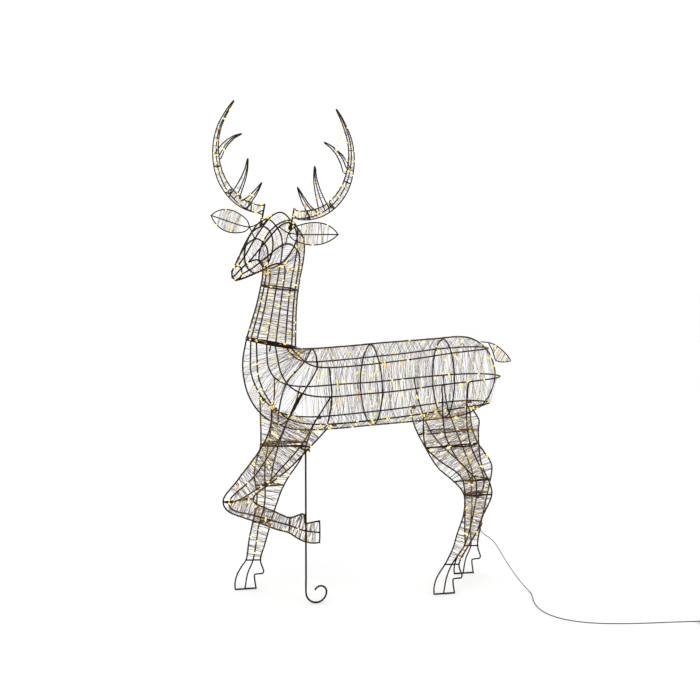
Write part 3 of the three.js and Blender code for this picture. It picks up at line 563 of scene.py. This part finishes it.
def rounded(points, radius):
    """The same line with each sharp corner bent round, as wire is."""
    line = [points[0]]
    for before, corner, after in zip(points, points[1:], points[2:]):
        back, on = before - corner, after - corner
        if back.angle(on, math.pi) > math.radians(CORNER["sharp_deg"]):
            line.append(corner)
            continue
        bend = min(CORNER["bend"] * radius, CORNER["share"] * back.length, CORNER["share"] * on.length)
        start, end = corner + back.normalized() * bend, corner + on.normalized() * bend
        line += [start, (start + end) / 4 + corner / 2, end]
    return [*line, points[-1]]


def meets_wire(end, outwards, lines, radius):
    """Whether a wire's end touches the side of another wire."""
    for a, b in lines:
        along = b - a
        t = (end - a).dot(along) / max(along.length_squared, 1e-12)
        if 0 <= t <= 1 and abs(along.normalized().dot(outwards)) < 0.9:
            if (a + along * t - end).length < TOUCHING * radius:
                return True
    return False


def round_wires(node, radius, sides):
    """Round, smoothly bent wires along a CAD frame's steps, with a bead of weld where one ends on another."""
    parts = []
    paths = wire_paths(node, radius, sides)
    lines = [line for points, _ in paths for line in zip(points, points[1:])]
    coated = radius * COAT
    for points, closed in paths:
        if closed:
            points = [*points, points[0], points[1]]
        else:
            for end, beside in ((0, 1), (-1, -2)):
                outwards = (points[end] - points[beside]).normalized()
                off_ground = points[end].z > 4 * radius
                if off_ground and meets_wire(points[end], outwards, lines, radius):
                    parts.append(drop(points[end], outwards, BEAD[0] * coated, BEAD[1] * coated, ROUND_SIDES))
        points = [Vector((p.x, p.y, max(p.z, coated))) for p in rounded(points, radius)]
        parts.append(tube(smooth_line(points, CURVE_STEP), 2 * coated, ROUND_SIDES))
    return parts


def socket_tube(side):
    """An antler's socket: a short open tube with rounded rims, in the head's frame."""
    inner, outer, height = SOCKET["inner"], SOCKET["outer"], SOCKET["height"]
    edge = 0.4
    profile = [(inner, edge), (inner + edge, 0), (outer - edge, 0), (outer, edge), (outer, height - edge),
               (outer - edge, height), (inner + edge, height), (inner, height - edge)]
    vertices, faces, sides = [], [], 24
    for k in range(sides):
        turn = 2 * math.pi * k / sides
        for r, z in profile:
            x, y = ANTLER_X + r * math.cos(turn), side * SOCKET["y"] + r * math.sin(turn)
            vertices.append(HEAD @ Vector((x, y, SOCKET["z"] + z)))
        for i in range(len(profile)):
            a, b = k * len(profile) + i, k * len(profile) + (i + 1) % len(profile)
            shift = ((k + 1) % sides - k) * len(profile)
            faces.append((a, b, b + shift, a + shift))
    return [tuple(v) for v in vertices], faces


def make_wires(material):
    """Round wires in place of every CAD frame's square ones."""
    bodies = {node: body for body, nodes in record["behaviour"]["bodies"].items() for node in nodes}
    sections = {"body_frame": WIRE, "neck_head_frame": WIRE, "support_rod": PROP, "tail": THIN}
    sections |= {name: WIRE for name in LEG_LINES}
    sections |= {f"{part}_{side}": THIN for part in ("antler", "ear") for side in ("left", "right")}
    for node, section in sections.items():
        parts = round_wires(node, *section)
        if node == "neck_head_frame":
            parts += [socket_tube(-1), socket_tube(1)]
        if node.startswith("antler"):
            side = -1 if node.endswith("left") else 1
            ends = [HEAD @ Vector((ANTLER_X, side * SOCKET["y"], z)) for z in (SOCKET["z"] + 1, PEG["top"])]
            parts.append(tube(ends, PEG["diameter"] * MM, 12))
        piece = new_piece(f"{node}_wires", *merged(parts), material, bodies[node], "frame_paint")
        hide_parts(node)


# ---------------------------------------------------------------- windings
def mesh_edges(node):
    mesh = frame["nodes"][node].data
    co = np.zeros(len(mesh.vertices) * 3)
    mesh.vertices.foreach_get("co", co)
    ends = np.zeros(len(mesh.edges) * 2, dtype=int)
    mesh.edges.foreach_get("vertices", ends)
    co = co.reshape(-1, 3)
    return co[ends[0::2]], co[ends[1::2]]


def hull(points):
    """The convex outline of 2-D points, in order."""
    order = sorted(set(map(tuple, points)))
    if len(order) < 3:
        return []

    def half(row):
        out = []
        for p in row:
            while len(out) > 1 and (out[-1][0] - out[-2][0]) * (p[1] - out[-2][1]) <= (
                out[-1][1] - out[-2][1]
            ) * (p[0] - out[-2][0]):
                out.pop()
            out.append(p)
        return out[:-1]

    return half(order) + half(order[::-1])


def loop_round(edges, origin, normal, reach):
    """A taut loop round the wires that cross a plane within reach of its origin, as points in order."""
    a, b = edges
    origin, normal = np.array(origin), np.array(normal)
    da, db = (a - origin) @ normal, (b - origin) @ normal
    crossing = da * db < 0
    t = (da[crossing] / (da[crossing] - db[crossing]))[:, None]
    hits = a[crossing] + t * (b[crossing] - a[crossing])
    hits = hits[np.linalg.norm(hits - origin, axis=1) < reach]
    u = np.cross(normal, (0.0, 1.0, 0.0))
    if np.linalg.norm(u) < 0.3:
        u = np.cross(normal, (1.0, 0.0, 0.0))
    u /= np.linalg.norm(u)
    v = np.cross(normal, u)
    outline = hull(np.round(np.stack([(hits - origin) @ u, (hits - origin) @ v], axis=1), 6))
    if not outline:
        return []
    middle = np.mean(outline, axis=0)
    loop = []
    for p in outline:
        away = np.array(p) - middle
        size = np.linalg.norm(away)
        place = middle + away * (1 + 0.5 * MICRO / max(size, 1e-4))
        place3 = origin + place[0] * u + place[1] * v
        if not loop or np.linalg.norm(place3 - loop[-1]) > CLOSEST_CORNERS:
            loop.append(place3)
    return loop


def station_at(stations, t):
    """Stations are (origin, normal, reach); this is the one at t, from 0 to 1 along the way."""
    origins = [Vector(s[0]) for s in stations]
    lengths = [0.0]
    for a, b in zip(origins, origins[1:]):
        lengths.append(lengths[-1] + (b - a).length)
    goal = lengths[-1] * t
    k = max(j for j in range(len(lengths) - 1) if lengths[j] <= goal)
    t = (goal - lengths[k]) / (lengths[k + 1] - lengths[k])
    normal = Vector(stations[k][1]).lerp(Vector(stations[k + 1][1]), t).normalized()
    reach = stations[k][2] + (stations[k + 1][2] - stations[k][2]) * t
    return origins[k].lerp(origins[k + 1], t), normal, reach


def any_way():
    """A random vector, about 1 long each way."""
    return Vector((RNG.gauss(0, 1), RNG.gauss(0, 1), RNG.gauss(0, 1)))


def places_of(turns):
    """Where a winding's turns lie, from 0 to 1: drawn together into small bunches, with gaps between."""
    waves = 2 * math.pi * max(1.0, turns / BUNCHING["turns"])
    phase = RNG.uniform(0, 2 * math.pi)
    stray = BUNCHING["stray"]
    places = []
    for i in range(turns):
        t = (i + 0.5 + RNG.uniform(-stray, stray)) / turns
        t += BUNCHING["depth"] / waves * math.sin(waves * t + phase + 2.5 * math.sin(9 * t))
        places.append(min(max(t, 0.0), 1.0))
    return places


def wind(edges, stations, turns, tilt):
    """The path of a micro-wire wound round a section, with uneven pitch and slant."""
    path = []
    for t in places_of(turns):
        origin, normal, reach = station_at(stations, t)
        slant = any_way() * math.tan(math.radians(tilt))
        loop = loop_round(edges, origin, (normal + slant).normalized(), reach)
        if len(loop) < 3:
            continue
        start = 0
        if path:
            start = int(np.argmin([np.linalg.norm(p - path[-1]) for p in loop]))
        loop = loop[start:] + loop[:start]
        path += loop + loop[: 1 + RNG.randrange(max(1, len(loop) // 2))]
    return path


def lamps(path, count):
    """Places and directions of lamps, about evenly spaced along the path, some with a second close by."""
    path = np.array(path)
    steps = np.linalg.norm(np.diff(path, axis=0), axis=1)
    along = np.append(0, np.cumsum(steps))
    places = []
    for i in range(count):
        goal = along[-1] * (i + RNG.uniform(0.15, 0.85)) / count
        k = int(np.searchsorted(along, goal)) - 1
        k = min(max(k, 0), len(steps) - 1)
        t = (goal - along[k]) / max(steps[k], 1e-9)
        ahead = path[k + 1] - path[k]
        spot = path[k] + ahead * t
        places.append((spot, ahead))
        if RNG.random() < LAMP_PAIR["share"]:
            shift = any_way() * LAMP_PAIR["spread"] * MM
            onwards = ahead / max(np.linalg.norm(ahead), 1e-9) * LAMP_PAIR["gap"] * MM
            places.append((spot + onwards + np.array(shift), ahead))
    return places


# ---------------------------------------------------------------- where each winding runs
def plane_between(back, front, reach, middle_y=0.0):
    """A station whose plane holds both points of the deer's middle plane, facing the way the section runs."""
    a, b = at(back[0], middle_y, back[1]), at(front[0], middle_y, front[1])
    across = (a - b).normalized()
    return (a + b) / 2, Vector((-across.z, 0, across.x)), reach * MM


# Planes across the torso from the chest to the rump, each by its point on the back and on the front or belly.
TORSO_PLANES = [
    ((-204, 749), (-369, 757)), ((-200, 749), (-377, 715)), ((-195, 750), (-372, 655)),
    ((-190, 750), (-350, 592)), ((-182, 750), (-312, 550)), ((-165, 750), (-262, 518)),
    ((-135, 752), (-170, 504)), ((-100, 753), (-105, 505)), ((20, 762), (20, 512)), ((140, 769), (140, 518)),
    ((250, 776), (250, 528)), ((320, 777), (322, 537)), ((362, 762), (368, 558)), ((398, 722), (402, 598)),
]
TORSO_REACH = 260


def head_stations(first, last):
    out = []
    for back_x, back_z, throat_x, throat_z in NECK_STATIONS[first:last]:
        back, throat = HEAD @ Vector((back_x, 0, back_z)), HEAD @ Vector((throat_x, 0, throat_z))
        side = (HEAD.to_3x3() @ Vector((0, 1, 0))).normalized()
        normal = side.cross((back - throat).normalized()).normalized()
        out.append(((back + throat) / 2, normal, NECK_REACH * MM))
    return out


def on_antler(side, y, z):
    return HEAD @ Vector((ANTLER_X - ANTLER_LEAN * (z - BEAM[0][1]), side * y, z))


def along_line(points, reach_from, reach_to):
    """Stations square to a line of points."""
    out = []
    for i, p in enumerate(points):
        ahead = (points[min(i + 1, len(points) - 1)] - points[max(i - 1, 0)]).normalized()
        t = i / (len(points) - 1)
        out.append((p, ahead, (reach_from + (reach_to - reach_from) * t) * MM))
    return out


# Each leg's side, and its middle line from the top down, part by part: [x, z, reach].
LEG_LINES = {
    "front_leg_left": (-1, [
        [(-215, 545, 110), (-245, 500, 80), (-272, 462, 66), (-310, 426, 60), (-352, 388, 68),
         (-396, 356, 72), (-420, 338, 66)],
        [(-425, 318, 46), (-390, 296, 44), (-350, 281, 44), (-300, 258, 44), (-262, 240, 46),
         (-225, 226, 56), (-190, 218, 60), (-176, 214, 60)],
    ]),
    "front_leg_right": (1, [
        [(-232, 548, 110), (-250, 500, 95), (-262, 450, 90), (-272, 400, 72), (-284, 350, 62),
         (-288, 300, 54), (-292, 262, 48), (-303, 220, 46), (-318, 178, 44), (-332, 140, 42),
         (-340, 100, 42)],
    ]),
    "rear_leg_left": (-1, [
        [(250, 545, 110), (248, 500, 98), (254, 455, 92), (272, 420, 76), (296, 386, 64), (318, 350, 58),
         (330, 310, 56), (322, 270, 52), (308, 230, 46), (294, 190, 44), (278, 150, 42), (262, 104, 42)],
    ]),
    "rear_leg_right": (1, [
        [(256, 545, 110), (272, 500, 100), (296, 455, 96), (326, 415, 88), (356, 378, 80), (380, 340, 72),
         (396, 300, 58), (398, 262, 52), (392, 220, 48), (388, 180, 46), (386, 140, 44), (382, 104, 42)],
    ]),
}
LEG_Y = 98                       # the legs' distance from the deer's middle plane
# From one turn to the next on each part of a leg, in millimetres.
LEG_PITCH = {
    "front_leg_left": (2.5, 2.0), "front_leg_right": (3.6,),
    "rear_leg_left": (3.3,), "rear_leg_right": (3.4,),
}
LEG_TILT = 8.5
LEG_LAMPS = 38
TAIL_LINE = [(402, 0, 744), (420, 0, 728), (446, 0, 712), (466, 0, 702)]
# A loose length of string that stands off the left antler between its beam and its last tine.
LOOSE_STRING = [
    (221, 612), (205, 622), (197, 604), (215, 598), (191, 583), (219, 553), (200, 566), (229, 548),
]


def ear_line(side):
    """The ear's middle line where the string is wound, which is not at its root or its tip."""
    line = []
    for t in (0.24, 0.5, 0.8):
        y = EAR["root"] + (EAR["tip"] - EAR["root"]) * t
        z = EAR["z"] + (EAR["tip_z"] - EAR["z"]) * t
        line.append(HEAD @ Vector((EAR["x"] + EAR["sweep"] * t, side * y, z)))
    return line


def leg_runs(side, parts, pitches):
    """A leg's windings: (stations, turns, tilt) for each part."""
    runs = []
    for part, pitch in zip(parts, pitches):
        line = [at(x, side * LEG_Y, z) for x, z, _ in part]
        square = along_line(line, 1, 1)
        stations = [(p, n, reach * MM) for (p, n, _), (_, _, reach) in zip(square, part)]
        length = sum((b - a).length for a, b in zip(line, line[1:]))
        runs.append((stations, int(length / (pitch * MM)), LEG_TILT))
    return runs


def windings():
    """(name, body, CAD frame node, runs, lamps) for every wound section; a run is (stations, turns, tilt)."""
    torso = [plane_between(back, front, TORSO_REACH) for back, front in TORSO_PLANES]
    chest, barrel, rump = torso[:6], torso[6:11], torso[10:]
    rows = [
        ("body", "torso", "body_frame", [(chest, 42, 4.0), (barrel, 118, 4.2), (rump, 44, 6.5)], 165),
        ("neck_head", "neck_head", "neck_head_frame",
         [(head_stations(0, 8), 108, 4.5), (head_stations(7, 14), 20, 11.0)], 96),
        ("tail", "torso", "tail", [(along_line([at(*p) for p in TAIL_LINE], 60, 40), 18, 5.0)], 6),
    ]
    for name, side in (("left", -1), ("right", 1)):
        node = f"antler_{name}"
        runs = [(along_line([on_antler(side, *p) for p in BEAM], 27, 8), 88, 8.0)]
        runs += [(along_line([on_antler(side, *p) for p in tine], 16, 6), 10, 8.0) for tine in TINES]
        rows.append((node, node, node, runs, 26))
        ear = f"ear_{name}"
        rows.append((ear, "neck_head", ear, [(along_line(ear_line(side), 50, 50), 22, 6.0)], 5))
    for name, leg in LEG_LINES.items():
        rows.append((name, "torso", name, leg_runs(*leg, LEG_PITCH[name]), LEG_LAMPS))
    return rows


# Where lamps bunch, because the string crosses from one section to the next there:
# for each section, (place, how far the bunch reaches in millimetres, number of lamps).
def bunches(section):
    if section == "body":
        places = [((-262, 0, 519), 40, 5), ((-330, -76, 640), 50, 3), ((-295, -82, 588), 30, 4),
                  ((405, 0, 712), 40, 6), ((400, 0, 572), 36, 5), ((425, 0, 655), 40, 3),
                  ((200, -80, 557), 30, 4), ((300, -72, 568), 30, 4)]
        places += [((x, -40, 512), 60, 3) for x in range(-180, 200, 60)]
        return [(at(*p), reach, count) for p, reach, count in places]
    if section == "neck_head":
        places = [((-225, 0, 185), 40, 7), ((-70, -30, 380), 40, 5), ((-70, 30, 380), 40, 5),
                  ((-87, -53, 345), 24, 4), ((-87, 53, 345), 24, 4), ((-75, 0, 206), 34, 5),
                  ((-130, -40, 199), 34, 4), ((75, 0, 3), 30, 7), ((-75, 0, 3), 30, 7)]
        return [(HEAD @ Vector(p), reach, count) for p, reach, count in places]
    if section in ("antler_left", "antler_right"):
        side = -1 if section.endswith("left") else 1
        places = [((60, 372), 26, 4), ((225, 520), 30, 2), ((140, 395), 30, 3)]
        return [(on_antler(side, *p), reach, count) for p, reach, count in places]
    if section in LEG_LINES:
        clips = [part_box(f"{section}_clip_{end}") for end in ("front", "back")]
        places = [((Vector(low) + Vector(high)) / 2, 24, 4) for low, high in clips]
        if section == "front_leg_left":
            places += [(at(-203, -98, 457), 26, 4), (at(-440, -95, 310), 24, 3), (at(-330, -98, 380), 40, 4)]
        return places
    return []


def lamps_near(edges, place, reach, count):
    """Places and directions of lamps on the wires within reach of a place."""
    a, b = edges
    size = np.maximum(np.sum((b - a) ** 2, axis=1), 1e-12)
    t = np.clip(np.einsum("ij,ij->i", np.array(place) - a, b - a) / size, 0, 1)
    foot = a + (b - a) * t[:, None]
    near = np.flatnonzero(np.linalg.norm(foot - np.array(place), axis=1) < reach * MM)
    found = []
    for _ in range(count if len(near) else 0):
        k = near[RNG.randrange(len(near))]
        along = t[k] + RNG.uniform(-0.5, 0.5) * reach * MM / max(np.linalg.norm(b[k] - a[k]), 1e-6)
        spot = a[k] + (b[k] - a[k]) * min(max(along, 0), 1)
        away = any_way().normalized() * OFF_WIRE * MM
        found.append((spot + np.array(away), b[k] - a[k]))
    return found


def make_windings(wire_material, lamp_material):
    """Every section's micro-wire in place of its CAD string, and the lamps on it."""
    for name, body, node, runs, count in windings():
        edges = mesh_edges(node)
        paths = [path for path in (wind(edges, *run) for run in runs) if len(path) > 3]
        if name == "antler_left":
            paths.append([np.array(on_antler(-1, *p)) for p in LOOSE_STRING])
        shape = merged([tube(p, MICRO, 4) for p in paths])
        winding = new_piece(f"winding_{name}", *shape, wire_material, body, "string_wire")
        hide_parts(f"light_string_{name}")
        lengths = [sum(float(np.linalg.norm(b - a)) for a, b in zip(p, p[1:])) for p in paths]
        spots = []
        for path, length in zip(paths, lengths):
            spots += lamps(path, max(1, round(count * length / sum(lengths))))
        for bunch in bunches(name):
            spots += lamps_near(edges, *bunch)
        new_piece(f"lamps_{name}", *merged([drop(*spot, *LED) for spot in spots]), lamp_material, body)


# ---------------------------------------------------------------- power lead and adapter
def coil_turns():
    """The coil's turns from the outside in and out again, layer on layer, clockwise from its +y side."""
    radii = []
    spiral = [COIL["outer"] - LEAD * i for i in range(COIL["turns_in_layer"])]
    for layer in range(COIL["layers"]):
        radii += [(r, layer) for r in (spiral if layer % 2 == 0 else spiral[::-1])]
    points = []
    steps = COIL["steps"]
    beyond = (radii[-1][0], radii[-1][1] + COIL["rise"])
    for (radius, layer), (next_radius, next_layer) in zip(radii, [*radii[1:], beyond]):
        for i in range(steps):
            shift = min(max((i / steps - 0.72) / 0.28, 0), 1)
            shift = shift * shift * (3 - 2 * shift)
            r = radius + (next_radius - radius) * shift
            z = LEAD * (0.5 + layer + (next_layer - layer) * shift) + 0.1
            angle = math.pi / 2 - 2 * math.pi * i / steps
            x, y = COIL["centre"]
            points.append((x + r * math.cos(angle), y + r * math.sin(angle), z))
    return points


def lead_exit():
    """Where the lead leaves its boot: the middle of the boot's lower end."""
    mesh = frame["nodes"]["lead_boot"].data
    corners = np.array([v.co[:] for v in mesh.vertices])
    route = np.array(at(*LEAD_ROUTE[0]))
    near = corners[np.argsort(np.linalg.norm(corners - route, axis=1))[:BOOT_CORNERS]]
    return Vector(near.mean(axis=0))


def make_lead(material):
    """The power lead: from the boot on the shank down to the ground, into its coil and on to the adapter."""
    turns = coil_turns()
    inside = ADAPTER["x"] - ADAPTER["length"] / 2 + ADAPTER["grip"]
    tail = [(x, turns[-1][1], ADAPTER["height"] / 2) for x in (*LEAD_INTO_ADAPTER, inside)]
    boot_end = lead_exit()
    route = smooth_line([boot_end, *(at(*p) for p in LEAD_ROUTE[:-1])], CURVE_STEP)
    into_coil = [at(*p) for p in [LEAD_ROUTE[-1], *turns[COIL["entered_at"]:]]]
    line = [*route, *into_coil, *(at(*p) for p in tail)]
    data = bpy.data.curves.new("power_lead_vinyl", "CURVE")
    data.dimensions, data.use_fill_caps = "3D", True
    data.bevel_depth, data.bevel_resolution = LEAD / 2 * MM, 3
    spline = data.splines.new("POLY")
    spline.points.add(len(line) - 1)
    for spot, p in zip(spline.points, line):
        spot.co = (*p, 1)
    lead = bpy.data.objects.new("power_lead_vinyl", data)
    bpy.context.scene.collection.objects.link(lead)
    data.materials.append(material)
    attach(lead, "torso")
    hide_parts("power_lead", "lead_coil")
    make_adapter()


def make_adapter():
    """The plug-in adapter: a rounded box with a parting groove round it."""
    bm = bmesh.new()
    bmesh.ops.create_cube(bm, size=1)
    size = Vector((ADAPTER["length"], ADAPTER["width"], ADAPTER["height"]))
    bmesh.ops.scale(bm, vec=size, verts=bm.verts)
    upright = [e for e in bm.edges if abs(e.verts[0].co.z - e.verts[1].co.z) > 1]
    bmesh.ops.bevel(bm, geom=upright, offset=ADAPTER["corner"], segments=8, profile=0.5, affect="EDGES")
    rims = [e for e in bm.edges if abs(e.verts[0].co.z - e.verts[1].co.z) < 1e-6 and e.calc_face_angle(0) > 1]
    bmesh.ops.bevel(bm, geom=rims, offset=ADAPTER["edge"], segments=4, profile=0.5, affect="EDGES")
    for height, inset in GROOVE:
        cut = bmesh.ops.bisect_plane(bm, geom=[*bm.verts, *bm.edges, *bm.faces], plane_co=(0, 0, height),
                                     plane_no=(0, 0, 1))
        ring = [v for v in cut["geom_cut"] if isinstance(v, bmesh.types.BMVert)]
        for v in ring:
            v.co.x *= 1 - 2 * inset / size.x
            v.co.y *= 1 - 2 * inset / size.y
    middle = at(ADAPTER["x"], ADAPTER["y"], ADAPTER["height"] / 2)
    bmesh.ops.transform(bm, matrix=Matrix.Translation(middle) @ Matrix.Scale(MM, 4), verts=bm.verts)
    bmesh.ops.recalc_face_normals(bm, faces=bm.faces)
    mesh = bpy.data.meshes.new("adapter_shell")
    bm.to_mesh(mesh)
    bm.free()
    for polygon in mesh.polygons:
        polygon.use_smooth = True
    mesh.set_sharp_from_angle(angle=math.radians(SHARP_EDGE))
    shell = bpy.data.objects.new("adapter_shell", mesh)
    bpy.context.scene.collection.objects.link(shell)
    mesh.materials.append(MATERIALS["adapter_plastic"])
    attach(shell, "torso")
    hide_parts("adapter_housing")
    return shell


def make_tip_welds(material):
    """The drop of weld and paint where an antler's three wires meet at each tip."""
    for name, side in (("left", -1), ("right", 1)):
        drops = []
        for outline in [BEAM, *TINES]:
            tip, before = on_antler(side, *outline[-1]), on_antler(side, *outline[-2])
            ahead = (tip - before).normalized()
            place = tip - ahead * TIP_WELD["back"] * MM
            drops.append(drop(place, ahead, TIP_WELD["half_width"] * MM, TIP_WELD["half_length"] * MM))
        new_piece(f"antler_{name}_tip_welds", *merged(drops), material, f"antler_{name}", "frame_paint")


# ---------------------------------------------------------------- assembly
make_camera()
make_studio()

MATERIALS = {
    "frame_paint": frame_paint(), "string_wire": string_wire(), "clip_plastic": clip_plastic(),
    "lead_vinyl": lead_vinyl(), "adapter_plastic": adapter_plastic(), "blade_brass": blade_brass(),
}
for part in record["subparts"]:
    node = frame["nodes"][part["node"]]
    node.data.materials.clear()
    node.data.materials.append(MATERIALS[part["material_slot"]])

make_lead(MATERIALS["lead_vinyl"])
make_wires(MATERIALS["frame_paint"])
make_windings(MATERIALS["string_wire"], led_glow())
make_tip_welds(MATERIALS["frame_paint"])
